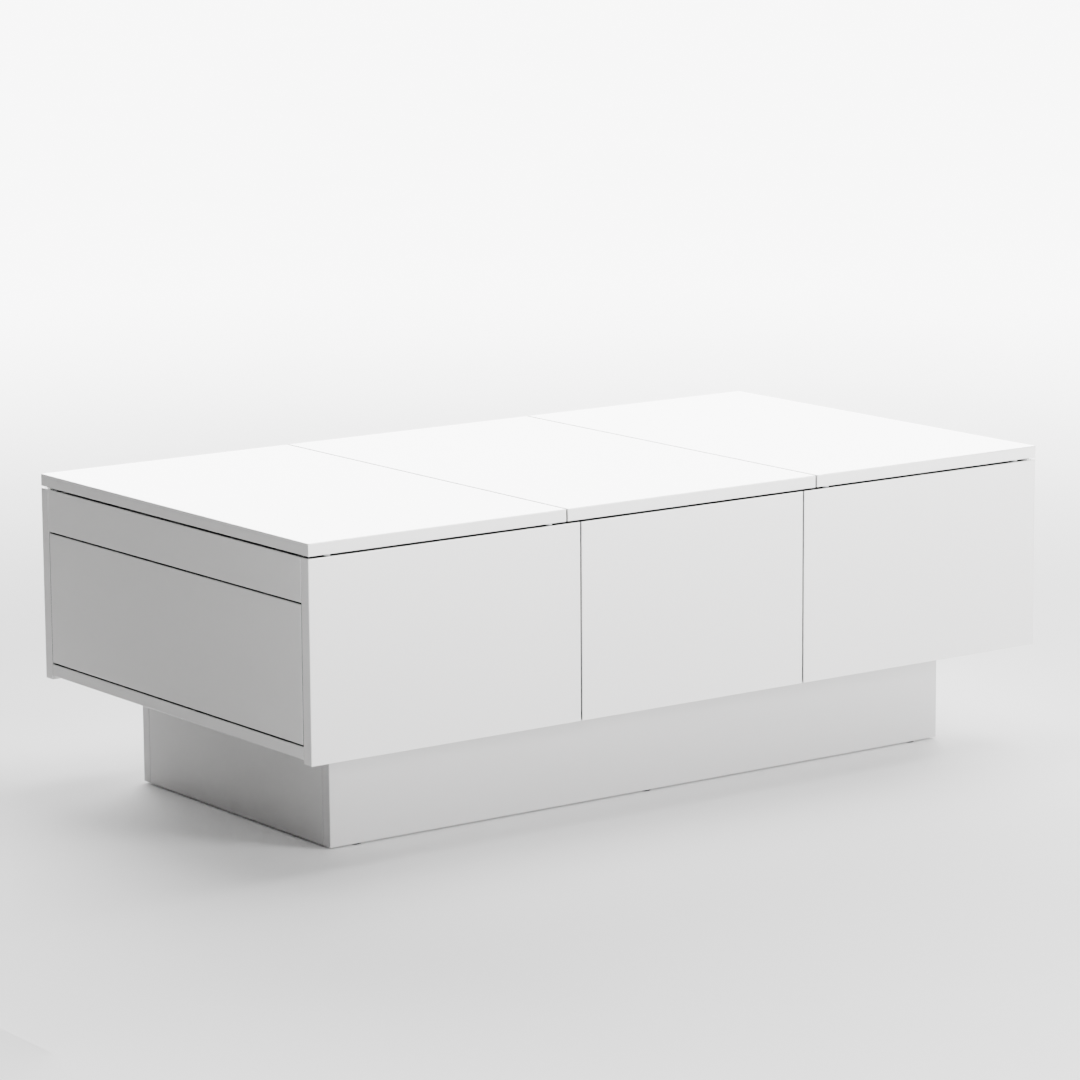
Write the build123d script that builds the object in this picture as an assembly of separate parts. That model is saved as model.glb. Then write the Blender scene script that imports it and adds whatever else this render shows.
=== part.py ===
"""A lift top coffee table in high-gloss board, modelled in millimetres.

Origin: on the floor, under the middle of the table.  +X runs along the length to the
right, +Y runs to the rear and +Z is up.  The middle of the top rises on a sprung
parallelogram, the two outer tops are lids hinged along the rear, and three drawers
without handles run out of the two ends and the front.
"""
import math
import os

from build123d import *

# ---------------------------------------------------------------- driving dimensions
LENGTH, WIDTH, HEIGHT = 1100.0, 600.0, 385.0
BOARD = 15.0  # tops, bottom, dividers, plinth and inner boards
PANEL = 16.0  # front and rear panels
SHADOW_GAP = 2.5  # between the tops and the body
SEAM = 2.0  # between neighbouring tops, panels and drawer fronts
EASE = 1.0  # rounding of the board edges

LID_LENGTH = 360.0  # each outer top, along X
SIDE_PANEL_LENGTH = 380.0  # each outer front panel, along X
PANEL_HEIGHT = 239.0
PANEL_DROP = 5.0  # front and rear panels hang this far below the bottom board
END_RAIL_HEIGHT = 52.5
JOINT_LINE = 0.5  # between boards that butt together

PLINTH_INSET_X, PLINTH_INSET_Y = 83.0, 91.0
GLIDE_HEIGHT, GLIDE_RADIUS, GLIDE_INSET = 2.0, 7.0, 40.0
CORNER_BLOCK, CORNER_BLOCK_HEIGHT = 40.0, 60.0
BLOCK_EASE = 2.0
BRACE_LIFT = 20.0  # cross boards stop this far above the plinth's lower edge

# ---------------------------------------------------------------- levels and planes
TOP_UNDER = HEIGHT - BOARD
BODY_TOP = TOP_UNDER - SHADOW_GAP
PANEL_BOTTOM = BODY_TOP - PANEL_HEIGHT
BOTTOM_UNDER = PANEL_BOTTOM + PANEL_DROP
BOTTOM_TOP = BOTTOM_UNDER + BOARD
RAIL_UNDER = BODY_TOP - END_RAIL_HEIGHT
HALF_L, HALF_W = LENGTH / 2, WIDTH / 2
INNER_Y = HALF_W - PANEL  # inner faces of the front and rear panels
LID_INNER_X = HALF_L - LID_LENGTH
MIDDLE_TOP_X = LID_INNER_X - SEAM
SEAM_X = HALF_L - SIDE_PANEL_LENGTH - SEAM / 2  # centre of the front seams
DIVIDER_IN, DIVIDER_OUT = SEAM_X - BOARD / 2, SEAM_X + BOARD / 2
MIDDLE_FRONT_X = SEAM_X - SEAM / 2
SIDES = (("left", -1), ("right", 1))

# ---------------------------------------------------------------- drawers and runners
DRAWER_SIDE = 12.0  # thickness of the drawer sides and backs
DRAWER_BASE = 5.0  # thickness of the drawer bottoms
GROOVE_DEPTH, GROOVE_PLAY = 5.0, 0.1
BASE_RISE = 6.0  # from the lower edge of a drawer side to its groove
RUNNER_WIDTH, RUNNER_HEIGHT, RUNNER_GAUGE = 12.7, 35.0, 1.2
END_FRONT_Y = INNER_Y - 1.5
END_DRAWER_LENGTH, END_DRAWER_HEIGHT, END_DRAWER_BASE_Z = 330.0, 120.0, 160.0
MIDDLE_DRAWER_LENGTH, MIDDLE_DRAWER_HEIGHT, MIDDLE_DRAWER_BASE_Z = 540.0, 76.0, 156.0
END_RUNNER_LENGTH, MIDDLE_RUNNER_LENGTH = 300.0, 500.0
SIDE_PLAY = 0.1  # between a runner's drawer member and the drawer side
CABINET_TIP = 10.0  # distances from the wall across a runner: where flanges end,
MIDDLE_WEB, MIDDLE_TIP = 2.2, 9.5  # and where the middle member's web starts
DRAWER_TIP = 4.2
NESTING = 1.8  # each runner member is this much lower at top and bottom than the last
RUNNER_SETBACK = 3.0  # behind the inner face of a drawer front
FRONT_PLAY = 0.5  # between the body's front edges and the middle drawer's front

# ---------------------------------------------------------------- middle compartment
LIFT_FLOOR_UNDER = 252.0
LIFT_FLOOR_TOP = LIFT_FLOOR_UNDER + BOARD
LIFT_FRONT_Y = -INNER_Y + 2.0  # outer face of the board behind the middle drawer front

# ---------------------------------------------------------------- lifting parallelogram
ARM_LENGTH, ARM_WIDTH, ARM_THICK = 230.0, 22.0, 3.0
CLOSED_ANGLE = 5.0  # of the arms above the horizontal, pointing to the rear
REAR_PIVOT = (-60.0, LIFT_FLOOR_TOP + 29.0)  # y, z of the rear arms' lower pivot
FRONT_PIVOT = (REAR_PIVOT[0] - 75.0, REAR_PIVOT[1] + 27.0)
PIN_RADIUS, PIN_PLAY, OPEN_PIVOT_PLAY = 4.0, 0.05, 0.3
PIN_HEAD_RADIUS, PIN_HEAD = 7.0, 1.5
PIN_PROUD = 0.5  # how far a pin passes its arm
PLATE = 2.0  # thickness of the base plates and the upper brackets
BASE_EAR, UPPER_EAR = 14.0, 12.0  # radius of a plate's outline round a pivot
BASE_STRIP, UPPER_STRIP = 10.0, 12.0  # height of a plate's straight strip
WASHER_GAP = 1.0  # between an arm and the plates beside it
ARM_X = DIVIDER_IN - PLATE - WASHER_GAP - ARM_THICK  # inner face of the arms
BRACKET_X = ARM_X - WASHER_GAP - PLATE  # inner face of the upper brackets
BASE_PLATE_REACH = (-130.0, 40.0)  # along Y from the rear pivot
BRACKET_HALF, FLANGE = 95.0, 22.0  # half the length and the width of an upper bracket's flange
BRACKET_SHIFT = 10.0  # its middle is this far in front of the middle of its pivots
BASE_FLANGE = 30.0  # how far a base plate's foot reaches from the divider
SCREW_RADIUS, SCREW_HEAD = 3.5, 0.8
SCREW_INSET, SCREW_RISE = 12.0, 7.0  # of a base plate's end screws, from its end and the floor
THIRD_SCREW = (-38.0, 24.0)  # along Y from the rear pivot, and above the floor
CROSS_TUBE_ALONG, CROSS_TUBE_RADIUS = 150.0, 6.0
SPRING_WIRE, SPRING_TURNS, SPRING_INNER = 2.4, 5, 5.0  # wire diameter, turns, coil's inner radius
SPRING_LEG, SPRING_LEG_RADIUS = 45.0, 1.08  # the legs are drawn thinner than the coil
SPRING_GAP = 0.2  # between the coil or a leg and what it sits beside
LEG_INSET = 1.8  # of a leg's centre line from the coil's end
STUD_PROUD, STUD_HEAD = 0.5, 1.5

# ---------------------------------------------------------------- hinges, latches, cams
HINGE_Y, HINGE_Z = HALF_W - 2.0, BODY_TOP + 2.1
HINGE_BARREL, HINGE_PIN, HINGE_LENGTH, HINGE_LEAF = 2.0, 0.95, 60.0, 1.0
HINGE_LEAF_WIDTH = 13.0
KNUCKLES, KNUCKLE_GAP, KNUCKLE_CLEAR = 5, 0.15, 0.3  # the gap is at each end of a knuckle
POCKET_ROOM = 0.5  # round a barrel in the lid's notch
HINGE_X = (HALF_L - 70.0, LID_INNER_X + 60.0)  # outer and inner hinge of each lid
LATCH_SIZE, PLUNGER_RADIUS, PLUNGER_LENGTH = 16.0, 3.0, 18.0
LATCH_CLEAR, PLUNGER_STANDS_OUT = 0.5, 6.0
LATCH_EASE, BORE_ROOM, BORE_PLAY = 1.5, 4.0, 0.1  # room behind and round a plunger
CAM_RADIUS, CAM_HOLE, CAM_DEPTH, CAM_THICK = 7.5, 7.6, 12.5, 10.0
CAM_SINK = 0.5  # below the board's face
CROSS_LENGTH, CROSS_WIDTH, CROSS_DEPTH = 8.0, 1.4, 2.5
CAM_INSET = 34.0  # from the joint that a cam pulls shut
CAM_FROM_END, CAM_FROM_TOP = 60.0, 18.0
BUMPER_RADIUS, BUMPER_INSET, BUMPER_PLAY = 4.0, 30.0, 0.1
BUMPER_FROM_SEAM = 20.0


def block(x, y, z, ease=0.0):
    """A rectangular board between two values on each axis, its edges rounded by ease."""
    size = (x[1] - x[0], y[1] - y[0], z[1] - z[0])
    solid = Pos((x[0] + x[1]) / 2, (y[0] + y[1]) / 2, (z[0] + z[1]) / 2) * Box(*size)
    return fillet(solid.edges(), ease) if ease else solid


def mirrored(side, low, high):
    """The X range from low to high on the right, or its mirror image on the left."""
    return (low, high) if side > 0 else (-high, -low)


def rod(start, end, radius):
    """A round bar between two points."""
    a, b = Vector(*start), Vector(*end)
    plane = Plane(origin=a, z_dir=(b - a).normalized())
    return extrude(plane * Circle(radius), amount=(b - a).length)


def side_plate(outline, x_low, x_high):
    """A sketch in Y and Z made into a plate between two X planes."""
    return extrude(Plane.YZ.offset(x_low) * outline, amount=x_high - x_low)


def save(name, *solids):
    """Writes one sub-part; several solids in it stay separate."""
    shape = solids[0] if len(solids) == 1 else Compound(children=list(solids))
    export_step(shape, f"parts/{name}.step")


# ---------------------------------------------------------------- fasteners
def cam_pocket(centre, direction):
    """The blind hole for one cam, drilled against direction from the board's face."""
    c, d = Vector(*centre), Vector(*direction)
    return rod(c + d, c - d * CAM_DEPTH, CAM_HOLE)


def cam_lock(centre, direction):
    """One zinc cam with a cross recess, set a little below the board's face."""
    c, d = Vector(*centre), Vector(*direction)
    face = c - d * CAM_SINK
    cam = rod(face, face - d * CAM_THICK, CAM_RADIUS)
    plane = Plane(origin=face, z_dir=d)
    for turn in (45, 135):
        cross = Rot(0, 0, turn) * Rectangle(CROSS_LENGTH, CROSS_WIDTH)
        cam -= extrude(plane * cross, amount=-CROSS_DEPTH)
    return cam


# ---------------------------------------------------------------- tops
def hinge_pockets(side):
    """The notches in a lid's lower rear edge that clear the hinge barrels."""
    pockets = []
    room = HINGE_BARREL + POCKET_ROOM
    for x in HINGE_X:
        reach = HINGE_LENGTH / 2 + 2 * POCKET_ROOM
        span = mirrored(side, x - reach, x + reach)
        pockets.append(block(span, (HINGE_Y - room, HALF_W + 1.0), (BODY_TOP, HINGE_Z + room)))
    return pockets


def make_tops():
    lift_top = block((-MIDDLE_TOP_X, MIDDLE_TOP_X), (-HALF_W, HALF_W), (TOP_UNDER, HEIGHT), EASE)
    save("lift_top_panel", lift_top)
    for name, side in SIDES:
        span = mirrored(side, LID_INNER_X, HALF_L)
        lid = block(span, (-HALF_W, HALF_W), (TOP_UNDER, HEIGHT), EASE)
        for pocket in hinge_pockets(side):
            lid -= pocket
        save(f"{name}_lid_panel", lid)


def hinge_rod(x_low, x_high, radius):
    """A round bar on the axis that the lids turn about."""
    return rod((x_low, HINGE_Y, HINGE_Z), (x_high, HINGE_Y, HINGE_Z), radius)


def make_lid_hinges():
    """Two butt hinges on each lid: three body knuckles, two lid knuckles, one pin."""
    body_leaves, pins = [], []
    knuckle = HINGE_LENGTH / KNUCKLES
    leaf_y = (HINGE_Y - HINGE_LEAF_WIDTH, HINGE_Y)
    for name, side in SIDES:
        lid_leaves = []
        for centre in HINGE_X:
            x0 = side * centre - HINGE_LENGTH / 2
            body = block((x0, x0 + HINGE_LENGTH), leaf_y, (BODY_TOP, BODY_TOP + HINGE_LEAF))
            lid = block((x0, x0 + HINGE_LENGTH), leaf_y, (TOP_UNDER - HINGE_LEAF, TOP_UNDER))
            for i in range(KNUCKLES):
                a, b = x0 + i * knuckle, x0 + (i + 1) * knuckle
                barrel = hinge_rod(a + KNUCKLE_GAP, b - KNUCKLE_GAP, HINGE_BARREL)
                clear = hinge_rod(a - KNUCKLE_GAP, b + KNUCKLE_GAP, HINGE_BARREL + KNUCKLE_CLEAR)
                if i % 2:
                    body, lid = body - clear, lid + barrel
                else:
                    body, lid = body + barrel, lid - clear
            bore = hinge_rod(x0 - 1, x0 + HINGE_LENGTH + 1, HINGE_PIN + PIN_PLAY)
            body_leaves.append(body - bore)
            lid_leaves.append(lid - bore)
            pins.append(hinge_rod(x0, x0 + HINGE_LENGTH, HINGE_PIN))
        save(f"{name}_lid_hinge_leaves", *lid_leaves)
    save("body_hinge_leaves", *body_leaves)
    save("lid_hinge_pins", *pins)


# ---------------------------------------------------------------- body
def make_body_boards():
    """The outer panels, bottom, dividers, end rails and compartment floors."""
    y_inner = INNER_Y - JOINT_LINE
    save("bottom_board", block((-HALF_L, HALF_L), (-y_inner, y_inner), (BOTTOM_UNDER, BOTTOM_TOP), EASE))
    panel_z = (PANEL_BOTTOM, BODY_TOP)
    middle = (-MIDDLE_FRONT_X, MIDDLE_FRONT_X)
    save("middle_rear_panel", block(middle, (INNER_Y, HALF_W), panel_z, EASE))
    cams = []
    for name, side in SIDES:
        span = mirrored(side, HALF_L - SIDE_PANEL_LENGTH, HALF_L)
        save(f"{name}_front_panel", block(span, (-HALF_W, -INNER_Y), panel_z, EASE))
        save(f"{name}_rear_panel", block(span, (INNER_Y, HALF_W), panel_z, EASE))

        divider_y = (FRONT_PLAY - INNER_Y, INNER_Y)
        divider = block(mirrored(side, DIVIDER_IN, DIVIDER_OUT), divider_y, (BOTTOM_TOP, BODY_TOP))
        save(f"{name}_divider", divider)

        rail_x = mirrored(side, HALF_L - BOARD, HALF_L)
        rail = block(rail_x, (-y_inner, y_inner), (RAIL_UNDER, BODY_TOP), EASE)
        floor_x, floor_z = mirrored(side, DIVIDER_OUT, HALF_L - BOARD), (RAIL_UNDER, RAIL_UNDER + BOARD)
        floor = block(floor_x, (-INNER_Y, INNER_Y), floor_z)
        for front in (-1, 1):
            spot = (side * (HALF_L - BOARD), front * (y_inner - CAM_INSET), BODY_TOP - CAM_FROM_TOP)
            rail -= cam_pocket(spot, (-side, 0, 0))
            cams.append(cam_lock(spot, (-side, 0, 0)))
            for x in (DIVIDER_OUT + CAM_FROM_END, HALF_L - BOARD - CAM_FROM_END):
                spot = (side * x, front * (INNER_Y - CAM_INSET), RAIL_UNDER)
                floor -= cam_pocket(spot, (0, 0, -1))
                cams.append(cam_lock(spot, (0, 0, -1)))
        save(f"{name}_end_rail", rail)
        save(f"{name}_compartment_floor", floor)

    lift_floor = block((-DIVIDER_IN, DIVIDER_IN), (LIFT_FRONT_Y, INNER_Y), (LIFT_FLOOR_UNDER, LIFT_FLOOR_TOP))
    for side in (-1, 1):
        for y in (LIFT_FRONT_Y + CAM_FROM_END, INNER_Y - CAM_FROM_END):
            spot = (side * (DIVIDER_IN - CAM_INSET), y, LIFT_FLOOR_UNDER)
            lift_floor -= cam_pocket(spot, (0, 0, -1))
            cams.append(cam_lock(spot, (0, 0, -1)))
    save("lift_compartment_floor", lift_floor)
    front_y = (LIFT_FRONT_Y, LIFT_FRONT_Y + BOARD)
    front_z = (LIFT_FLOOR_TOP, BODY_TOP - SHADOW_GAP)
    save("lift_compartment_front", block((-DIVIDER_IN, DIVIDER_IN), front_y, front_z))
    save("cam_locks", *cams)


def make_bumpers():
    """Clear pads on the body's top edges that the three tops close on."""
    spots = []
    for side in (-1, 1):
        for x in (HALF_L - BUMPER_INSET, LID_INNER_X + BUMPER_FROM_SEAM):
            spots.append((side * x, PANEL / 2 - HALF_W))
        spots += [(side * SEAM_X, y) for y in (BUMPER_INSET - INNER_Y, INNER_Y - BUMPER_INSET)]
    low, high = BODY_TOP, TOP_UNDER - BUMPER_PLAY
    save("top_bumpers", *[rod((x, y, low), (x, y, high), BUMPER_RADIUS) for x, y in spots])


# ---------------------------------------------------------------- plinth
def make_plinth():
    """Four boards round a hollow, with two cross boards, corner blocks and glides."""
    x, y = HALF_L - PLINTH_INSET_X, HALF_W - PLINTH_INSET_Y
    z = (GLIDE_HEIGHT, BOTTOM_UNDER)
    save("plinth_front", block((-x, x), (-y, -y + BOARD), z, EASE))
    save("plinth_rear", block((-x, x), (y - BOARD, y), z, EASE))
    end_y = y - BOARD - JOINT_LINE
    for name, side in SIDES:
        save(f"{name}_plinth_end", block(mirrored(side, x - BOARD, x), (-end_y, end_y), z, EASE))
    inner_y = y - BOARD
    braces, blocks, glides = [], [], []
    for centre in (-SEAM_X, SEAM_X):
        brace_x = (centre - BOARD / 2, centre + BOARD / 2)
        braces.append(block(brace_x, (-inner_y, inner_y), (GLIDE_HEIGHT + BRACE_LIFT, BOTTOM_UNDER)))
    save("plinth_cross_boards", *braces)
    for sx in (-1, 1):
        for sy in (-1, 1):
            bx = sorted((sx * (x - BOARD), sx * (x - BOARD - CORNER_BLOCK)))
            by = sorted((sy * inner_y, sy * (inner_y - CORNER_BLOCK)))
            blocks.append(block(bx, by, (BOTTOM_UNDER - CORNER_BLOCK_HEIGHT, BOTTOM_UNDER), BLOCK_EASE))
    for gx in (-x + GLIDE_INSET, 0.0, x - GLIDE_INSET):
        for sy in (-1, 1):
            gy = sy * (y - BOARD / 2)
            glides.append(rod((gx, gy, 0), (gx, gy, GLIDE_HEIGHT), GLIDE_RADIUS))
    save("plinth_corner_blocks", *blocks)
    save("floor_glides", *glides)


# ---------------------------------------------------------------- drawers
def channel(web, tip, half, gauge, start, end, along):
    """A C-section rail: a web and two flanges, in the cross-section plane of a runner.

    web and tip are places across the runner, half is half its height, and start and end
    are places along it.  along is "x" or "y".
    """
    low, high = sorted((web, tip))
    toward = 1 if tip > web else -1
    web_range = sorted((web, web + toward * gauge))

    def piece(across, z):
        span = (start, end)
        return block(span, across, z) if along == "x" else block(across, span, z)

    rail = piece(web_range, (-half, half))
    for s in (-1, 1):
        rail += piece((low, high), sorted((s * half, s * (half - gauge))))
    return rail


def runner(side, wall, start, end, z, along):
    """One three-part ball-bearing runner between a wall and a drawer side.

    side is the direction from the drawer towards the wall.  Returns the cabinet,
    middle and drawer members.
    """
    half, g = RUNNER_HEIGHT / 2, RUNNER_GAUGE
    inner = wall - side * RUNNER_WIDTH
    web, tip = wall - side * MIDDLE_WEB, wall - side * MIDDLE_TIP
    cabinet = channel(wall, wall - side * CABINET_TIP, half, g, start, end, along)
    middle = channel(web, tip, half - NESTING, g, start, end, along)
    drawer = channel(inner, wall - side * DRAWER_TIP, half - 2 * NESTING, g, start, end, along)
    return [Pos(0, 0, z) * member for member in (cabinet, middle, drawer)]


def drawer_box(along, reach, start, length, base, height):
    """Two sides and a back with a groove for the bottom, and the bottom panel.

    reach is half the outside width, start is the inner face of the front and the sign
    of length is the direction from the front to the back.
    """
    end = start + length
    back_start = end - math.copysign(DRAWER_SIDE, length)
    z = (base, base + height)
    groove_z = (base + BASE_RISE - GROOVE_PLAY, base + BASE_RISE + DRAWER_BASE + GROOVE_PLAY)
    bottom_z = (base + BASE_RISE, base + BASE_RISE + DRAWER_BASE)

    def piece(run, across, heights, ease=0.0):
        run, across = sorted(run), sorted(across)
        return block(run, across, heights, ease) if along == "x" else block(across, run, heights, ease)

    inner = reach - DRAWER_SIDE
    tongue = inner + GROOVE_DEPTH - GROOVE_PLAY
    back_tongue = back_start + math.copysign(GROOVE_DEPTH - GROOVE_PLAY, length)
    groove_end = back_start + math.copysign(GROOVE_DEPTH, length)
    groove = piece((start, groove_end), (-inner - GROOVE_DEPTH, inner + GROOVE_DEPTH), groove_z)
    sides = [piece((start, end), (s * inner, s * reach), z) - groove for s in (-1, 1)]
    back = piece((back_start, end), (-inner, inner), z) - groove
    bottom = piece((start, back_tongue), (-tongue, tongue), bottom_z)
    return [*sides, back], bottom


def latch(face, drawer_back, along, height):
    """A push latch between a face of the body and the back of a closed drawer.

    Returns its body, with a blind bore, and its plunger.  The plunger's tip stops
    LATCH_CLEAR short of the drawer.
    """
    half = LATCH_SIZE / 2
    outward = math.copysign(1, drawer_back - face)
    tip = drawer_back - outward * LATCH_CLEAR
    mouth = tip - outward * PLUNGER_STANDS_OUT
    inner = tip - outward * PLUNGER_LENGTH

    def point(distance):
        return (distance, 0, height) if along == "x" else (0, distance, height)

    run, across, z = sorted((face, mouth)), (-half, half), (height - half, height + half)
    x, y = (run, across) if along == "x" else (across, run)
    body = block(x, y, z, LATCH_EASE)
    body -= rod(point(mouth), point(inner - outward * BORE_ROOM), PLUNGER_RADIUS + BORE_PLAY)
    return body, rod(point(tip), point(inner), PLUNGER_RADIUS)


def save_drawer(name, side_reach, start, length, base, height, along):
    """The box of one drawer as two sides and a back, and its bottom."""
    box, bottom = drawer_box(along, side_reach, start, length, base, height)
    save(f"{name}_drawer_box", *box)
    save(f"{name}_drawer_bottom", bottom)


def make_drawers():
    """Three drawers with their fronts, boxes, runners and push latches."""
    latch_bodies, cabinet_members = [], []
    for name, side in SIDES:
        front_z = (BOTTOM_TOP + SEAM, RAIL_UNDER - SEAM)
        front = block(mirrored(side, HALF_L - BOARD, HALF_L), (-END_FRONT_Y, END_FRONT_Y), front_z, EASE)
        save(f"{name}_drawer_front", front)
        start, back = HALF_L - BOARD, HALF_L - BOARD - END_DRAWER_LENGTH
        save_drawer(name, INNER_Y - RUNNER_WIDTH - SIDE_PLAY, side * start, side * (back - start),
                    END_DRAWER_BASE_Z, END_DRAWER_HEIGHT, "x")
        run = mirrored(side, start - RUNNER_SETBACK - END_RUNNER_LENGTH, start - RUNNER_SETBACK)
        z = END_DRAWER_BASE_Z + END_DRAWER_HEIGHT / 2
        members = [runner(s, s * INNER_Y, *run, z, "x") for s in (-1, 1)]
        cabinet_members += [m[0] for m in members]
        save(f"{name}_runner_middle_members", *[m[1] for m in members])
        save(f"{name}_runner_drawer_members", *[m[2] for m in members])
        body, plunger = latch(side * DIVIDER_OUT, side * back, "x", z)
        latch_bodies.append(body)
        save(f"{name}_latch_plunger", plunger)

    start = FRONT_PLAY - INNER_Y + RUNNER_SETBACK
    front = block((-MIDDLE_FRONT_X, MIDDLE_FRONT_X), (-HALF_W, -INNER_Y), (PANEL_BOTTOM, BODY_TOP), EASE)
    save("middle_drawer_front", front)
    save_drawer("middle", DIVIDER_IN - RUNNER_WIDTH - SIDE_PLAY, -INNER_Y, MIDDLE_DRAWER_LENGTH,
                MIDDLE_DRAWER_BASE_Z, MIDDLE_DRAWER_HEIGHT, "y")
    z = MIDDLE_DRAWER_BASE_Z + MIDDLE_DRAWER_HEIGHT / 2
    run = (start, start + MIDDLE_RUNNER_LENGTH)
    members = [runner(s, s * DIVIDER_IN, *run, z, "y") for s in (-1, 1)]
    cabinet_members += [m[0] for m in members]
    save("middle_runner_middle_members", *[m[1] for m in members])
    save("middle_runner_drawer_members", *[m[2] for m in members])
    body, plunger = latch(INNER_Y, MIDDLE_DRAWER_LENGTH - INNER_Y, "y", z)
    save("middle_latch_plunger", plunger)
    save("push_latch_bodies", *latch_bodies, body)
    save("runner_cabinet_members", *cabinet_members)


# ---------------------------------------------------------------- lift mechanism
def along_arm(pivot, distance):
    """The y and z of a point on a closed arm, distance from its lower pivot."""
    a = math.radians(CLOSED_ANGLE)
    return pivot[0] + distance * math.cos(a), pivot[1] + distance * math.sin(a)


def arm(pivot, side, upper_play):
    """One flat arm with round ends and bored pivots."""
    middle = along_arm(pivot, ARM_LENGTH / 2)
    outline = Pos(*middle) * Rot(0, 0, CLOSED_ANGLE) * SlotCenterToCenter(ARM_LENGTH, ARM_WIDTH)
    outline -= Pos(*pivot) * Circle(PIN_RADIUS + PIN_PLAY)
    outline -= Pos(*along_arm(pivot, ARM_LENGTH)) * Circle(PIN_RADIUS + upper_play)
    return side_plate(outline, *mirrored(side, ARM_X, ARM_X + ARM_THICK))


def hull_plate(x_low, x_high, circles, strip_centre, strip_size):
    """A flat plate whose outline wraps some circles and one rectangle."""
    edges = [edge for y, z, r in circles for edge in (Pos(y, z) * Circle(r)).edges()]
    edges += (Pos(*strip_centre) * Rectangle(*strip_size)).edges()
    return side_plate(make_hull(edges), x_low, x_high)


def make_lift_brackets():
    """The base plates on the dividers, the brackets under the top, and their screws."""
    base_plates, brackets, screws = [], [], []
    y_low, y_high = (REAR_PIVOT[0] + reach for reach in BASE_PLATE_REACH)
    floor = LIFT_FLOOR_TOP
    uppers = [along_arm(pivot, ARM_LENGTH) for pivot in (REAR_PIVOT, FRONT_PIVOT)]
    centre = (uppers[0][0] + uppers[1][0]) / 2 - BRACKET_SHIFT
    bracket_y = (centre - BRACKET_HALF, centre + BRACKET_HALF)
    for _, side in SIDES:
        x = mirrored(side, DIVIDER_IN - PLATE, DIVIDER_IN)
        circles = [(*REAR_PIVOT, BASE_EAR), (*FRONT_PIVOT, BASE_EAR)]
        strip = ((y_low + y_high) / 2, floor + BASE_STRIP / 2)
        plate = hull_plate(*x, circles, strip, (y_high - y_low, BASE_STRIP))
        foot_x = mirrored(side, DIVIDER_IN - BASE_FLANGE, DIVIDER_IN)
        plate += block(foot_x, (y_low, y_high), (floor, floor + PLATE))
        base_plates.append(plate)

        x = mirrored(side, BRACKET_X, BRACKET_X + PLATE)
        circles = [(*upper, UPPER_EAR) for upper in uppers]
        strip = (centre, TOP_UNDER - UPPER_STRIP / 2)
        bracket = hull_plate(*x, circles, strip, (2 * BRACKET_HALF, UPPER_STRIP))
        flange_x = mirrored(side, BRACKET_X - FLANGE, BRACKET_X + PLATE)
        bracket += block(flange_x, bracket_y, (TOP_UNDER - PLATE, TOP_UNDER))
        brackets.append(bracket)

        face = side * (DIVIDER_IN - PLATE)
        spots = [(y, floor + SCREW_RISE) for y in (y_low + SCREW_INSET, y_high - SCREW_INSET)]
        for y, z in (*spots, (REAR_PIVOT[0] + THIRD_SCREW[0], floor + THIRD_SCREW[1])):
            screws.append(rod((face, y, z), (face - side * SCREW_HEAD, y, z), SCREW_RADIUS))
    save("lift_base_plates", *base_plates)
    save("lift_upper_brackets", *brackets)
    save("lift_base_screws", *screws)


def make_lift_arms():
    """The four arms, the tube between the rear pair, and the pins they turn on."""
    rear_arms, front_arms, base_pins, upper_pins = [], [], [], []
    for _, side in SIDES:
        rear_arms.append(arm(REAR_PIVOT, side, PIN_PLAY))
        front_arms.append(arm(FRONT_PIVOT, side, OPEN_PIVOT_PLAY))
        plate, head = side * (DIVIDER_IN - PLATE), side * (ARM_X - PIN_PROUD)
        for pivot in (REAR_PIVOT, FRONT_PIVOT):
            pin = rod((plate, *pivot), (head, *pivot), PIN_RADIUS)
            pin += rod((head, *pivot), (head - side * PIN_HEAD, *pivot), PIN_HEAD_RADIUS)
            base_pins.append(pin)
            upper = along_arm(pivot, ARM_LENGTH)
            start, end = side * (BRACKET_X + PLATE), side * (ARM_X + ARM_THICK + PIN_PROUD)
            upper_pins.append(rod((start, *upper), (end, *upper), PIN_RADIUS))
    tube = along_arm(REAR_PIVOT, CROSS_TUBE_ALONG)
    save("lift_rear_arms", *rear_arms)
    save("lift_front_arms", *front_arms)
    save("lift_cross_tube", rod((-ARM_X, *tube), (ARM_X, *tube), CROSS_TUBE_RADIUS))
    save("lift_base_pins", *base_pins)
    save("lift_upper_pins", *upper_pins)


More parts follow.
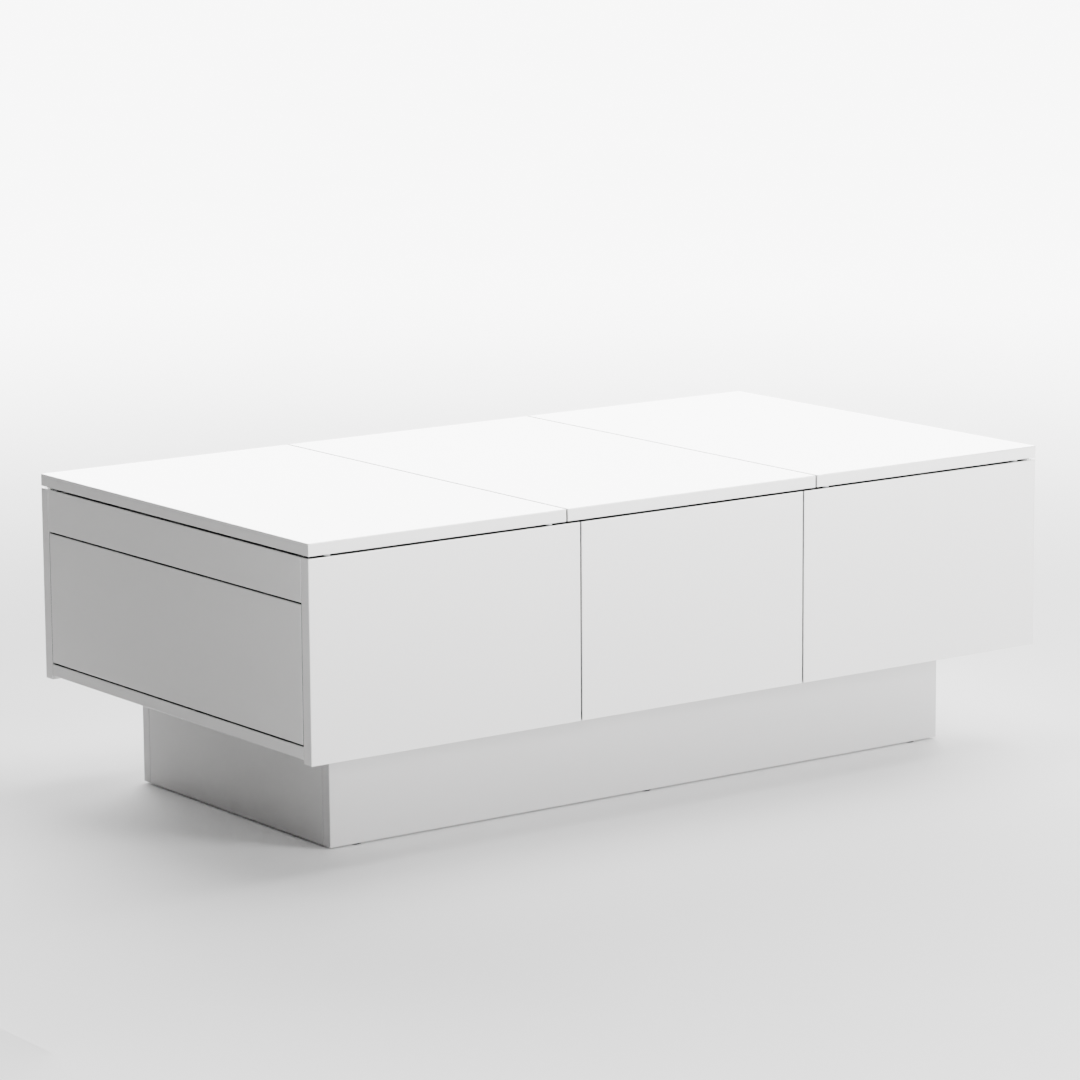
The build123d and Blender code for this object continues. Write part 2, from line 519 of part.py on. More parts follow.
def make_lift_springs():
    """One torsion spring per rear pivot, on a stud of the pin, its legs on arm and floor."""
    y, z = REAR_PIVOT
    coil_radius = SPRING_INNER + SPRING_WIRE / 2
    radius = SPRING_LEG_RADIUS
    outer = ARM_X - PIN_PROUD - PIN_HEAD - SPRING_GAP
    inner = outer - SPRING_TURNS * SPRING_WIRE
    foot = (y + SPRING_LEG / 3, LIFT_FLOOR_TOP + PLATE + radius + BORE_PLAY)
    under_arm = ARM_WIDTH / 2 + radius + SPRING_GAP
    hook = (y + SPRING_LEG, z + SPRING_LEG * math.tan(math.radians(CLOSED_ANGLE)) - under_arm)
    leave = coil_radius * math.sqrt(0.5)
    springs, studs = [], []
    for _, side in SIDES:
        coil = rod((side * outer, y, z), (side * inner, y, z), SPRING_INNER + SPRING_WIRE)
        coil -= rod((side * (outer + 1), y, z), (side * (inner - 1), y, z), SPRING_INNER)
        foot_x, arm_x = side * (inner + LEG_INSET), side * (outer - LEG_INSET)
        coil += rod((foot_x, y + coil_radius, z), (foot_x, *foot), radius)
        coil += rod((arm_x, y + leave, z - leave), (arm_x, *hook), radius)
        coil += rod((arm_x - side * radius, *hook), (side * (ARM_X + ARM_THICK), *hook), radius * 0.9)
        springs.append(coil)
        end = side * (inner - STUD_PROUD)
        stud = rod((side * (outer + SPRING_GAP), y, z), (end, y, z), PIN_RADIUS)
        stud += rod((end, y, z), (end - side * STUD_HEAD, y, z), PIN_HEAD_RADIUS)
        studs.append(stud)
    save("lift_springs", *springs)
    save("lift_spring_studs", *studs)


def make_lift():
    """The whole mechanism that carries the middle of the top."""
    make_lift_brackets()
    make_lift_arms()
    make_lift_springs()


os.makedirs("parts", exist_ok=True)
make_tops()
make_lid_hinges()
make_body_boards()
make_bumpers()
make_plinth()
make_drawers()
make_lift()
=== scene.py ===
"""A lift top coffee table in white lacquered board: looks, light and camera."""
import math

import bmesh
import bpy
import numpy as np
from mathutils import Matrix, Vector


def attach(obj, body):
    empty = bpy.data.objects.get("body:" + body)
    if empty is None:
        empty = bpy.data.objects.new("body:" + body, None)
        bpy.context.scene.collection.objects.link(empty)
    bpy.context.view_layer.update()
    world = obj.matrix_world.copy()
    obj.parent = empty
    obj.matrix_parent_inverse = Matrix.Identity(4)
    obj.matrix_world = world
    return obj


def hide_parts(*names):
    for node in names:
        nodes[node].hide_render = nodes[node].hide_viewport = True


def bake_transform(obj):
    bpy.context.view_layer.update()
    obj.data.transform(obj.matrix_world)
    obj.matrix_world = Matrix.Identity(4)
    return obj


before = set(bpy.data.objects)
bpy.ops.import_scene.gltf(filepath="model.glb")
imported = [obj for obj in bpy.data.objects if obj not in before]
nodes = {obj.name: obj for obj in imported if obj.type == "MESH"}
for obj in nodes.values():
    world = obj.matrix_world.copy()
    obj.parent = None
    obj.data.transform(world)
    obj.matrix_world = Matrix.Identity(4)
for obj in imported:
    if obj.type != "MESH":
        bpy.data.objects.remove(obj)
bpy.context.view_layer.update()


# ------------------------------------------------------------------ satin lacquered plinth
# The hollow base is four 15 mm boards, sprayed with a satin white lacquer and glued at
# butt joints.  The spray leaves a very fine grain and slightly uneven sheen.  Its colour
# is painted shade: a mid grey, darker than the white lacquer, for the base set back in
# shade under the body.
def surface(name, colour, second, patch, rough, grain, height, metallic=0.0, coat=0.0, chips=0.0):
    """A procedural finish.  Two colours mix by a broad noise of patch cells per metre.
    The same noise moves the roughness between two values, and a finer noise of grain
    cells per metre is the bump, height metres deep.  chips above zero mixes in angular
    cells, as in pressed board."""
    material = bpy.data.materials.new(name)
    material.use_nodes = True
    tree = material.node_tree
    shader = tree.nodes["Principled BSDF"]
    shader.inputs["Metallic"].default_value = metallic
    shader.inputs["Coat Weight"].default_value = coat
    shader.inputs["Coat Roughness"].default_value = 0.03
    place = tree.nodes.new("ShaderNodeTexCoord")
    broad = tree.nodes.new("ShaderNodeTexNoise")
    broad.inputs["Scale"].default_value = patch
    broad.inputs["Detail"].default_value = 4
    fine = tree.nodes.new("ShaderNodeTexNoise")
    fine.inputs["Scale"].default_value = grain
    fine.inputs["Detail"].default_value = 3
    for noise in (broad, fine):
        tree.links.new(place.outputs["Object"], noise.inputs["Vector"])
    mix = tree.nodes.new("ShaderNodeMix")
    mix.data_type = "RGBA"
    mix.inputs["A"].default_value = (*colour, 1)
    mix.inputs["B"].default_value = (*second, 1)
    tree.links.new(broad.outputs["Fac"], mix.inputs["Factor"])
    base = mix.outputs["Result"]
    if chips:
        cells = tree.nodes.new("ShaderNodeTexVoronoi")
        cells.inputs["Scale"].default_value = chips
        tree.links.new(place.outputs["Object"], cells.inputs["Vector"])
        tint = tree.nodes.new("ShaderNodeMix")
        tint.data_type = "RGBA"
        tint.blend_type = "SOFT_LIGHT"
        tint.inputs["Factor"].default_value = 0.7
        tree.links.new(base, tint.inputs["A"])
        tree.links.new(cells.outputs["Color"], tint.inputs["B"])
        grey = tree.nodes.new("ShaderNodeHueSaturation")
        grey.inputs["Saturation"].default_value = 0.55
        tree.links.new(tint.outputs["Result"], grey.inputs["Color"])
        base = grey.outputs["Color"]
    tree.links.new(base, shader.inputs["Base Color"])
    sheen = tree.nodes.new("ShaderNodeMapRange")
    sheen.inputs["From Min"].default_value = 0.3
    sheen.inputs["From Max"].default_value = 0.7
    sheen.inputs["To Min"].default_value = rough[0]
    sheen.inputs["To Max"].default_value = rough[1]
    tree.links.new(broad.outputs["Fac"], sheen.inputs["Value"])
    tree.links.new(sheen.outputs["Result"], shader.inputs["Roughness"])
    bump = tree.nodes.new("ShaderNodeBump")
    bump.inputs["Distance"].default_value = height
    bump.inputs["Strength"].default_value = 1.0
    tree.links.new(fine.outputs["Fac"], bump.inputs["Height"])
    tree.links.new(bump.outputs["Normal"], shader.inputs["Normal"])
    if coat:
        tree.links.new(bump.outputs["Normal"], shader.inputs["Coat Normal"])
    return material


def finish(material, *names):
    """Gives CAD nodes a finish."""
    for name in names:
        nodes[name].data.materials.clear()
        nodes[name].data.materials.append(material)


# painted shade: the lacquer's colour is a mid grey in place of white, for the shade under the body
shaded_satin = surface("satin lacquer", (0.56, 0.555, 0.555), (0.54, 0.536, 0.536), 7, (0.34, 0.42), 1400, 0.00002)
finish(shaded_satin, "plinth_front", "plinth_rear", "left_plinth_end", "right_plinth_end")


# ------------------------------------------------------------------ bare board in the plinth
# Two cross boards and four corner blocks stiffen the base out of sight.  They are left
# as bare particle board: pressed wood chips in a yellow-brown binder.
raw = surface(
    "particle board", (0.56, 0.42, 0.27), (0.44, 0.32, 0.20),
    60, (0.75, 0.92), 900, 0.00012, chips=420
)
finish(raw, "plinth_cross_boards", "plinth_corner_blocks")


# ------------------------------------------------------------------ floor glides
# Six round nylon pads are nailed under the plinth's front and rear boards.  Each is a
# shallow disc with a rounded rim and a dimple round the nail.
def mesh_object(name, vertices, faces, material):
    """A smooth mesh object.  Vertices in one place are merged, which closes its poles and
    seams."""
    mesh = bpy.data.meshes.new(name)
    mesh.from_pydata(np.asarray(vertices, float).tolist(), [], [tuple(face) for face in faces])
    mesh.polygons.foreach_set("use_smooth", [True] * len(mesh.polygons))
    mesh.materials.append(material)
    work = bmesh.new()
    work.from_mesh(mesh)
    bmesh.ops.remove_doubles(work, verts=work.verts, dist=1e-6)
    work.to_mesh(mesh)
    work.free()
    item = bpy.data.objects.new(name, mesh)
    bpy.context.scene.collection.objects.link(item)
    return item


def ring_faces(rows, columns):
    """Quads between the rows of a grid whose columns close on themselves."""
    row, column = np.meshgrid(np.arange(rows - 1), np.arange(columns), indexing="ij")
    here = row * columns + column
    beside = row * columns + (column + 1) % columns
    return np.stack((here, beside, beside + columns, here + columns), axis=-1).reshape(-1, 4)


def repeated(places, piece, faces):
    """The same piece at every place, as one set of vertices and faces."""
    vertices = np.array(places, float)[:, None] + piece
    starts = np.arange(len(places)) * len(piece)
    return vertices.reshape(-1, 3), (faces + starts[:, None, None]).reshape(-1, faces.shape[1])


def joined(*pieces):
    """Several pieces as one set of vertices and faces."""
    starts = np.cumsum([0, *(len(vertices) for vertices, _ in pieces)])
    faces = [faces + start for (_, faces), start in zip(pieces, starts)]
    return np.concatenate([vertices for vertices, _ in pieces]), np.concatenate(faces)


def circle_round(direction, count):
    """Unit vectors round a direction: cos t * side + sin t * other."""
    side = np.cross(direction, (0, 0, 1)) if abs(direction[2]) < 0.9 else np.array((1.0, 0, 0))
    turn = np.linspace(0, 2 * math.pi, count, endpoint=False)[:, None]
    return np.cos(turn) * side + np.sin(turn) * np.cross(direction, side)


def lathe(places, direction, profile, count=40):
    """Turned pieces.  A profile pair is (radius, distance), and a point on the piece is
    place + distance * direction + radius * a unit vector round the direction."""
    radius, distance = np.array(profile, float).T[:, :, None, None]
    piece = distance * np.array(direction, float) + radius * circle_round(direction, count)
    return repeated(places, piece.reshape(-1, 3), ring_faces(len(profile), count))


nylon = surface("black nylon", (0.035, 0.035, 0.036), (0.05, 0.05, 0.05), 90, (0.4, 0.6), 1500, 0.00004)
glide_places = [(x, y, 0.002) for x in (-0.427, 0.0, 0.427) for y in (-0.2015, 0.2015)]
glide_profile = [(0, -0.0014), (0.0012, -0.0014), (0.0016, -0.0019), (0.0055, -0.002)]
glide_profile += [(0.0066, -0.0017), (0.007, -0.001), (0.007, 0), (0, 0)]
glides = mesh_object("glides", *lathe(glide_places, (0, 0, 1), glide_profile), nylon)
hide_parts("floor_glides")
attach(glides, "carcass")


# ------------------------------------------------------------------ gloss boards of the body
# The panels, bottom board and end rails are fibreboard with a sprayed and buffed white
# lacquer.  It reflects like a coat over white, with a faint orange peel.  In the narrow
# gaps between boards, painted shade darkens the colour to near black and takes away the
# coat and sheen.
gloss = surface(
    "gloss lacquer", (0.850, 0.842, 0.838), (0.836, 0.828, 0.823),
    5, (0.10, 0.16), 170, 0.0000035, coat=1.0
)
tree = gloss.node_tree
shader = tree.nodes["Principled BSDF"]
coat_in = shader.inputs["Base Color"].links[0].from_socket
# painted shade: where ambient occlusion finds close surfaces within 7 mm, the colour goes to near black and
# the coat and sheen fade out
gap = tree.nodes.new("ShaderNodeAmbientOcclusion")
gap.samples = 6
gap.inputs["Distance"].default_value = 0.007
tree.links.new(coat_in, gap.inputs["Color"])
deep = tree.nodes.new("ShaderNodeMix")
deep.data_type = "RGBA"
deep.inputs["A"].default_value = (0.03, 0.03, 0.03, 1)
painted_gap_shade = tree.nodes.new("ShaderNodeMapRange")
painted_gap_shade.inputs["From Min"].default_value = 0.25
painted_gap_shade.inputs["From Max"].default_value = 0.62
tree.links.new(gap.outputs["AO"], painted_gap_shade.inputs["Value"])
tree.links.new(painted_gap_shade.outputs["Result"], deep.inputs["Factor"])
tree.links.new(coat_in, deep.inputs["B"])
tree.links.new(deep.outputs["Result"], shader.inputs["Base Color"])
tree.links.new(painted_gap_shade.outputs["Result"], shader.inputs["Coat Weight"])
tree.links.new(painted_gap_shade.outputs["Result"], shader.inputs["Specular IOR Level"])
finish(gloss, "bottom_board", "left_front_panel", "right_front_panel", "left_rear_panel")
finish(gloss, "right_rear_panel", "middle_rear_panel", "left_end_rail", "right_end_rail")


# ------------------------------------------------------------------ melamine boards inside
# Dividers, compartment floors and the board behind the middle drawer's front are particle
# board faced with white melamine paper, which has a fine pearl texture.
melamine = surface("white melamine", (0.80, 0.80, 0.785), (0.77, 0.77, 0.76), 25, (0.38, 0.5), 1100, 0.00003)
finish(melamine, "left_divider", "right_divider", "left_compartment_floor", "right_compartment_floor")
finish(melamine, "lift_compartment_floor", "lift_compartment_front")


# ------------------------------------------------------------------ cams
# Cast zinc cams lock the boards together.  They sit just below the face with a cross for
# the screwdriver, and the casting is dull and slightly pitted.
zamak = surface(
    "cast zinc", (0.55, 0.56, 0.58), (0.45, 0.46, 0.48),
    300, (0.3, 0.5), 2500, 0.00004, metallic=1.0
)
finish(zamak, "cam_locks")


# ------------------------------------------------------------------ drawer runners
# Each runner is three nested sections rolled from zinc-plated strip, with bowed lips
# that hold the bearing balls.  Only the middle and inner sections travel.
def channel(name, node, body, webs, axis, span, reach, half):
    """Rolled C sections along an axis.  webs is (face, sign, height) of each, and a section
    is a web of height 2 * half with lips reach long.  A lip's height is half + bow *
    sin(pi * s) for s from 0 to 1 along it."""
    corner, bow, short = 0.0012, 0.0004, 0.001
    s = np.linspace(0, 1, 9)[1:]
    bend = [(0, half - 2 * corner), (0, half - corner), (corner * 0.3, half - corner * 0.3)]
    upper = np.concatenate((bend, np.stack((reach * s, half + bow * np.sin(math.pi * s)), axis=1)))
    section = np.concatenate((upper[::-1] * (1, -1), upper))
    run = np.array((span[0], span[0] + short, span[1] - short, span[1]))
    faces = ring_faces(len(run), len(section)).reshape(len(run) - 1, -1, 4)[:, :-1].reshape(-1, 4)
    rails = []
    for face, sign, height in webs:
        along, across = np.meshgrid(run, face + sign * section[:, 0], indexing="ij")
        z = np.broadcast_to(height + section[:, 1], along.shape)
        spots = np.stack((along, across, z) if axis == "x" else (across, along, z), axis=-1)
        outward = (sign > 0) == (axis == "x")
        rails.append((spots.reshape(-1, 3), faces if outward else faces[:, ::-1]))
    item = mesh_object(name, *joined(*rails), zinc)
    shell = item.modifiers.new("gauge", "SOLIDIFY")
    shell.thickness = 0.0011
    shell.offset = 0
    edge = item.modifiers.new("edge", "BEVEL")
    edge.width = 0.0002
    edge.segments = 2
    edge.limit_method = "ANGLE"
    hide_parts(node)
    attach(item, body)


zinc = surface(
    "bright zinc", (0.70, 0.71, 0.72), (0.60, 0.62, 0.66),
    35, (0.18, 0.34), 900, 0.00001, metallic=1.0
)
finish(zinc, "runner_cabinet_members")
# the web's distance from the wall, the lips' length and half the height
runner_parts = (("middle", 0.0028, 0.0066, 0.01485), ("drawer", 0.0121, -0.0078, 0.01325))
for drawer, axis, span, wall, height in (
    ("left", "x", (-0.532, -0.232), 0.284, 0.22),
    ("right", "x", (0.232, 0.532), 0.284, 0.22),
    ("middle", "y", (-0.2805, 0.2195), 0.1615, 0.194),
):
    for part, across, reach, half in runner_parts:
        webs = [(side * (wall - across), -side, height) for side in (-1, 1)]
        body = f"{drawer}_runners" if part == "middle" else f"{drawer}_drawer"
        node = f"{drawer}_runner_{part}_members"
        channel(f"{drawer}_runner_{part}", node, body, webs, axis, span, reach, half)


# ------------------------------------------------------------------ drawers
# The boxes are 12 mm melamine board with a thin base in a groove.  Their fronts are the
# same gloss board as the body and have no handles.
finish(melamine, "left_drawer_box", "right_drawer_box", "middle_drawer_box")
base_white = surface("drawer base", (0.76, 0.76, 0.745), (0.72, 0.72, 0.71), 40, (0.5, 0.62), 1300, 0.00003)
finish(base_white, "left_drawer_bottom", "right_drawer_bottom", "middle_drawer_bottom")
finish(gloss, "left_drawer_front", "right_drawer_front", "middle_drawer_front")


# ------------------------------------------------------------------ push latches
# A grey moulded housing behind each drawer holds a sprung plunger that kicks the drawer
# out when its front is pressed.  The plunger has a waist behind its domed tip.
grey = surface("grey plastic", (0.42, 0.43, 0.44), (0.36, 0.37, 0.38), 120, (0.4, 0.55), 1600, 0.00004)
finish(grey, "push_latch_bodies")
plunger_profile = [(0, 0), (0.0026, 0), (0.0026, 0.0125), (0.0022, 0.013), (0.0022, 0.014)]
plunger_profile += [(0.003, 0.0146), (0.003, 0.0166), (0.0026, 0.0175), (0.0016, 0.0179), (0, 0.018)]
for drawer, place, direction in (
    ("left", (-0.1865, 0, 0.22), (-1, 0, 0)),
    ("right", (0.1865, 0, 0.22), (1, 0, 0)),
    ("middle", (0, 0.2745, 0.194), (0, -1, 0)),
):
    plunger = mesh_object(f"{drawer}_plunger", *lathe([place], direction, plunger_profile, 28), grey)
    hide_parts(f"{drawer}_latch_plunger")
    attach(plunger, f"{drawer}_plunger")


# ------------------------------------------------------------------ lift plates and brackets
# Pressed steel plates on the dividers and folded brackets under the top carry the arms.
# All are powder coated black, which gives a fine pebbled skin.
powder = surface(
    "black powder coat", (0.030, 0.030, 0.032), (0.022, 0.022, 0.024),
    40, (0.38, 0.5), 2200, 0.00007
)
finish(powder, "lift_base_plates", "lift_upper_brackets", "lift_cross_tube")


# ------------------------------------------------------------------ lift arms
# Four arms swing the top up and forward, two on each side.  Each is 3 mm strip with round
# ends and a bead pressed along its inner face to stiffen it.
lean = math.radians(5)
arm_length = 0.230
rear_pivot, front_pivot = (-0.060, 0.296), (-0.135, 0.323)


def arm_pair(name, node, pivot):
    """Two arms.  A ring of directions t goes round the centre line, half along its straight
    sides and half round its ends, and a point is centre + s * half width * (cos t, sin t)
    in the plane of the arm.  The inner face stands out by a bead where s is small, which
    fades out before the pivots, and both faces drop by the easing where s is near 1."""
    half, inner_face, outer_face, bead, ease = 0.011, 0.1555, 0.1585, 0.0007, 0.0006
    straight, ends = np.linspace(0, arm_length, 24), np.linspace(-math.pi / 2, math.pi / 2, 18)[1:-1]
    full, none = np.full(ends.shape, arm_length), np.zeros(ends.shape)
    centre = np.concatenate((straight, full, straight[::-1], none))
    quarter = np.full(straight.shape, math.pi / 2)
    t = np.concatenate((-quarter, ends, quarter, ends + math.pi))
    edge = [((half - ease) / half, 0), (1 - ease / half * 0.3, -ease * 0.3), (1, -ease)]
    inner = np.array([(0, bead), (0.12, bead), (0.22, bead * 0.85), (0.32, bead * 0.15), (0.36, 0), (0.7, 0)])
    outer = np.array([(0, 0), (0.36, 0), (0.7, 0)])
    inner, outer = np.concatenate((inner, edge)), np.concatenate((outer, edge))
    fade = np.clip((np.minimum(centre, arm_length - centre) - 0.022) / 0.012, 0, 1)
    rise = inner[:, 1, None] * np.where(inner[:, 1, None] > 0, fade, 1)
    flat = np.broadcast_to(outer_face + outer[::-1, 1, None], (len(outer), len(t)))
    x = np.concatenate((inner_face - rise, flat))
    s = np.concatenate((inner[:, 0], outer[::-1, 0]))[:, None]
    a, b = centre + half * s * np.cos(t), half * s * np.sin(t)
    y = pivot[0] + a * math.cos(lean) - b * math.sin(lean)
    z = pivot[1] + a * math.sin(lean) + b * math.cos(lean)
    faces = ring_faces(len(s), len(t))
    right = (np.stack((x, y, z), axis=-1).reshape(-1, 3), faces)
    left = (right[0] * (-1, 1, 1), faces[:, ::-1])
    arms = mesh_object(name, *joined(left, right), powder)
    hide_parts(node)
    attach(arms, node)


arm_pair("rear_arms", "lift_rear_arms", rear_pivot)
arm_pair("front_arms", "lift_front_arms", front_pivot)


# ------------------------------------------------------------------ pivot pins
# Zinc-plated pins with low domed heads are riveted into the plates, and the arms turn on
# them.  The upper ones have small heads inside the brackets and end just past the arms.
base_profile = [(0, -0.0002), (0.0034, 0), (0.0058, 0.0006), (0.0068, 0.0012), (0.007, 0.0017)]
base_profile += [(0.007, 0.0020), (0.004, 0.0021), (0.004, 0.0065), (0, 0.0066)]
upper_profile = [(0, -0.0009), (0.0024, -0.0007), (0.0038, -0.0002), (0.0044, 0.0006)]
upper_profile += [(0.004, 0.001), (0.004, 0.0056), (0.0032, 0.006), (0, 0.006)]
rise = np.array((math.cos(lean), math.sin(lean))) * arm_length
base_spots = np.array((rear_pivot, front_pivot))
for name, node, body, spots, x, profile in (
    ("base_pins", "lift_base_pins", "carcass", base_spots, 0.1531, base_profile),
    ("upper_pins", "lift_upper_pins", "lift_top", base_spots + rise, 0.1523, upper_profile),
):
    pair = [lathe([(side * x, *spot) for spot in spots], (side, 0, 0), profile) for side in (-1, 1)]
    pins = mesh_object(name, *joined(*pair), zinc)
    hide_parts(node)
    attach(pins, body)


# ------------------------------------------------------------------ torsion springs
# A coil of oiled spring wire sits on a stud at each rear pivot.  One leg presses on the
# floor plate and the other hooks under the arm, so the top rises with little effort.
steel = surface(
    "spring wire", (0.30, 0.30, 0.31), (0.22, 0.22, 0.23),
    220, (0.22, 0.36), 1500, 0.00001, metallic=1.0
)
for side, word in ((-1, "left"), (1, "right")):
    wire, mean, turns, sections = 0.0011, 0.0062, 4.75, 12
    outer, inner = 0.1520, 0.1426
    hook = [(0.1583, 0.045, -0.0083), (0.1560, 0.045, -0.0083), (0.1540, 0.0448, -0.0083)]
    hook += [(0.1526, 0.0438, -0.0083), (outer, 0.0418, -0.0082)]
    # the upper leg runs straight from the hook to the coil, and the lower one down to the plate
    k = np.linspace(0.08, 0.98, 12)
    upper_leg = np.stack((np.full(k.shape, outer), 0.042 * (1 - k), -0.0082 + 0.0020 * k), axis=1)
    t = np.linspace(0, turns, 160)
    angle = -math.pi / 2 - 2 * math.pi * t
    coil = np.stack((outer + (inner - outer) * t / turns, mean * np.cos(angle), mean * np.sin(angle)), axis=1)
    k = np.linspace(0.1, 1.0, 9)
    lower_leg = np.stack((np.full(k.shape, inner), mean + 0.009 * k, -0.0245 * k), axis=1)
    foot = [(inner - 0.0012, 0.0158, -0.0255)]
    foot += [(inner - 0.003, 0.0160, -0.0257), (inner - 0.008, 0.0160, -0.0257)]
    path = np.concatenate((hook, upper_leg, coil, lower_leg, foot)) * (side, 1, 1) + (0, *rear_pivot)
    tangent = np.gradient(path, axis=0)
    tangent /= np.linalg.norm(tangent, axis=1)[:, None]
    normal = np.cross(tangent, (side, 0.13, 0.07))
    normal /= np.linalg.norm(normal, axis=1)[:, None]
    other = np.cross(tangent, normal)
    turn = np.linspace(0, 2 * math.pi, sections, endpoint=False)[:, None]
    rings = path[:, None] + wire * (np.cos(turn) * normal[:, None] + np.sin(turn) * other[:, None])
    # a ring of no size at either end closes the wire
    rings = np.concatenate((np.tile(path[0], (1, sections, 1)), rings, np.tile(path[-1], (1, sections, 1))))
    spring = mesh_object(f"{word}_spring", rings.reshape(-1, 3), ring_faces(len(rings), sections), steel)
    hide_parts("lift_springs")
    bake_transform(spring)
finish(zinc, "lift_spring_studs")


# ------------------------------------------------------------------ screws
# Pan head screws hold the lift plates to the dividers.  Their heads are low domes with a
# cross recess pressed in, plated like the pins.
def cross_head(places, direction, radius, height):
    """Domed screw heads.  With r and t round the head, its height is height * (sqrt(1 -
    0.96 r^4) - 0.75 * dip), where dip is 1 in the middle and falls off as r grows and
    where |cos 2t| is small, which makes the cross.  A skirt goes down into the plate."""
    rings, count, skirt = 12, 48, height * 0.2 + 0.0001
    turn = np.linspace(0, 2 * math.pi, count, endpoint=False)
    r, t = np.meshgrid(np.linspace(0, 1, rings + 1), turn, indexing="ij")
    inside = 1 / (1 + np.exp(40 * (r - 0.55)))
    arm = 1 / (1 + np.exp(-30 * (np.abs(np.cos(2 * t)) - 0.78 - 0.2 * r)))
    dip = np.where(r < 0.12, 1, inside * arm)
    lift = height * (np.sqrt(1 - 0.96 * r ** 4) - 0.75 * dip)
    lift = np.concatenate((lift, lift[-1:] - skirt, lift[-1:] - skirt))
    r = np.concatenate((r, r[-1:], r[:1]))
    piece = lift[..., None] * np.array(direction, float)
    piece = piece + radius * r[..., None] * circle_round(direction, count)
    return repeated(places, piece.reshape(-1, 3), ring_faces(len(r), count)[:, ::-1])


plate_spots = [(-0.178, 0.274), (-0.032, 0.274), (-0.098, 0.291)]
screw_heads = [
    cross_head([(side * 0.1595, y, z) for y, z in plate_spots], (-side, 0, 0), 0.0035, 0.0014)
    for side in (-1, 1)
]
screws = mesh_object("plate_screws", *joined(*screw_heads), zinc)
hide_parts("lift_base_screws")
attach(screws, "carcass")


# ------------------------------------------------------------------ lid hinges
# Narrow butt hinges let each outer top swing up along its rear edge.  The leaves are
# folded round the pins, and both are nickel plated.
nickel = surface(
    "nickel plate", (0.62, 0.60, 0.56), (0.52, 0.50, 0.47),
    120, (0.2, 0.32), 1200, 0.00001, metallic=1.0
)
finish(nickel, "body_hinge_leaves", "left_lid_hinge_leaves", "right_lid_hinge_leaves", "lid_hinge_pins")


# ------------------------------------------------------------------ hinge and bracket screws
# Flat countersunk screws hold the hinge leaves, and low pan heads hold the lift brackets
# up to the middle top.  All have a cross recess and are plated.
leaf_z = {"body": 0.3685, "lid": 0.3690}
for word, side in (("left", -1), ("right", 1)):
    spots = [(side * centre + along, 0.2905) for centre in (0.480, 0.250) for along in (-0.018, 0, 0.018)]
    for leaf, direction, body in (("body", (0, 0, 1), "carcass"), ("lid", (0, 0, -1), f"{word}_lid")):
        heads = cross_head([(*spot, leaf_z[leaf]) for spot in spots], direction, 0.0024, 0.00018)
        item = mesh_object(f"{word}_{leaf}_leaf_screws", *heads, nickel)
        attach(item, body)
bracket_spots = [(side * 0.141, y, 0.368) for side in (-1, 1) for y in (0.036, 0.096, 0.156, 0.200)]
bracket_screws = mesh_object("bracket_screws", *cross_head(bracket_spots, (0, 0, -1), 0.0042, 0.0017), zinc)
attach(bracket_screws, "lift_top")


# ------------------------------------------------------------------ closing pads
# Small clear elastomer domes on the body's top edges keep the shadow gap and take the
# knock as a top comes down.
pad = surface("clear pad", (0.80, 0.81, 0.82), (0.72, 0.73, 0.74), 200, (0.12, 0.22), 800, 0.00001, coat=0.5)
pad_profile = [(0, 0), (0.004, 0), (0.0039, 0.0006), (0.0034, 0.0014), (0.0024, 0.0021)]
pad_profile += [(0.0012, 0.00237), (0, 0.0024)]
pad_places = [(side * x, -0.292, 0.3675) for side in (-1, 1) for x in (0.520, 0.210)]
pad_places += [(side * 0.169, y, 0.3675) for side in (-1, 1) for y in (-0.254, 0.254)]
pads = mesh_object("closing_pads", *lathe(pad_places, (0, 0, 1), pad_profile, 24), pad)
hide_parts("top_bumpers")
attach(pads, "carcass")


# ------------------------------------------------------------------ tops
# The middle top lifts and the outer two are lids.  They are the same gloss board, with
# edges eased by hand to about a millimetre before spraying.
finish(gloss, "lift_top_panel", "left_lid_panel", "right_lid_panel")


# ------------------------------------------------------------------ floor, light and camera
# A pale floor with painted light, which glows more and more with distance from the table,
# and a white room.  Soft panels of light stand above and to the front right.  A dark card
# and a dark strip on the floor, which the camera doesn't see, shade the left end.
paper = surface("floor paper", (0.94, 0.94, 0.94), (0.93, 0.93, 0.93), 2, (0.7, 0.8), 300, 0.00002)
tree = paper.node_tree
# painted light: the floor emits more and more light with distance from the table
place = tree.nodes.new("ShaderNodeTexCoord")
far = tree.nodes.new("ShaderNodeVectorMath")
far.operation = "LENGTH"
tree.links.new(place.outputs["Object"], far.inputs[0])
painted_glow = tree.nodes.new("ShaderNodeMapRange")
painted_glow.interpolation_type = "SMOOTHSTEP"
painted_glow.inputs["From Min"].default_value = 0.9
painted_glow.inputs["From Max"].default_value = 5.0
painted_glow.inputs["To Max"].default_value = 7.0
tree.links.new(far.outputs["Value"], painted_glow.inputs["Value"])
tree.links.new(painted_glow.outputs["Result"], tree.nodes["Principled BSDF"].inputs["Emission Strength"])
tree.nodes["Principled BSDF"].inputs["Emission Color"].default_value = (1, 1, 1, 1)
quad = [(0, 1, 2, 3)]
floor = mesh_object("floor", [(-45, -45, 0), (45, -45, 0), (45, 45, 0), (-45, 45, 0)], quad, paper)
dark = surface("dark cloth", (0.02, 0.02, 0.02), (0.03, 0.03, 0.03), 9, (0.8, 0.9), 400, 0.0001)
near, far_end, foot_x, card_x = -0.3, 1.8, -0.6, -1.12
card = [(card_x, -0.7, 0.001), (card_x, far_end, 0.001), (card_x, far_end, 1.9), (card_x, -0.7, 1.9)]
flag = mesh_object("flag", card, quad, dark)
cover = [(card_x, near, 0.002), (foot_x, near, 0.002), (foot_x, far_end, 0.002), (card_x, far_end, 0.002)]
strip = mesh_object("strip", cover, quad, dark)
for item in (flag, strip):
    item.visible_camera = False
    item.visible_shadow = False
strip.visible_diffuse = False
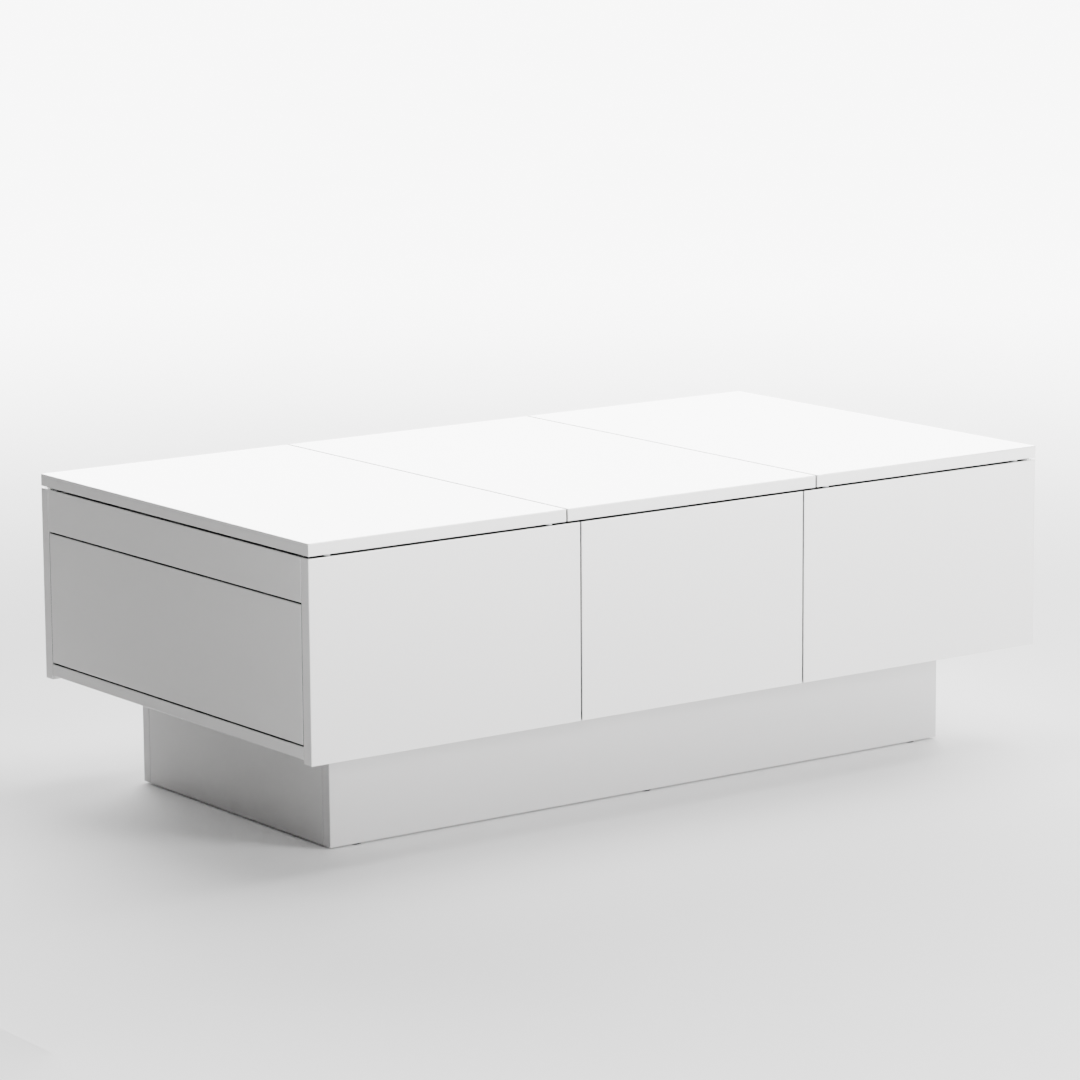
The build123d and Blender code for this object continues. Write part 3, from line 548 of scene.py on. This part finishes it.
world = bpy.data.worlds.new("room")
world.use_nodes = True
tree = world.node_tree
heading = tree.nodes.new("ShaderNodeTexCoord")
facing = tree.nodes.new("ShaderNodeVectorMath")
facing.operation = "DOT_PRODUCT"
facing.inputs[1].default_value = (0.578, 0.790, 0.205)
tree.links.new(heading.outputs["Generated"], facing.inputs[0])
glow = tree.nodes.new("ShaderNodeMapRange")
glow.interpolation_type = "SMOOTHSTEP"
glow.inputs["From Min"].default_value = 0.80
glow.inputs["From Max"].default_value = 0.975
glow.inputs["To Min"].default_value = 0.42
glow.inputs["To Max"].default_value = 13.0
tree.links.new(facing.outputs["Value"], glow.inputs["Value"])
tree.links.new(glow.outputs["Result"], tree.nodes["Background"].inputs["Strength"])
tree.nodes["Background"].inputs["Color"].default_value = (1, 1, 1, 1)
bpy.context.scene.world = world
for name, place, width, power in (
    ("key", (2.6, -4.2, 1.1), 1.8, 330),
    ("over", (0.9, 0.3, 3.4), 2.6, 190),
):
    lamp = bpy.data.lights.new(name, "AREA")
    lamp.size = width
    lamp.energy = power
    item = bpy.data.objects.new(name, lamp)
    item.location = place
    item.rotation_euler = Vector((-place[0], -place[1], 0.2 - place[2])).to_track_quat("-Z", "Y").to_euler()
    bpy.context.scene.collection.objects.link(item)
camera = bpy.data.cameras.new("camera")
camera.lens = 144.24
camera.sensor_width = 36
camera.clip_start, camera.clip_end = 0.1, 60
eye = bpy.data.objects.new("camera", camera)
turn, tip, tilt = math.radians(36.1175), math.radians(10.503), math.radians(-0.366)
ahead = Vector((math.sin(turn) * math.cos(tip), math.cos(turn) * math.cos(tip), -math.sin(tip)))
level = Vector((math.cos(turn), -math.sin(turn), 0))
upward = level.cross(ahead)
across = math.cos(tilt) * level + math.sin(tilt) * upward
over = math.cos(tilt) * upward - math.sin(tilt) * level
eye.matrix_world = Matrix((across, over, -ahead)).transposed().to_4x4()
eye.location = (-3.14646, -4.29889, 1.27047)
bpy.context.scene.collection.objects.link(eye)
bpy.context.scene.camera = eye
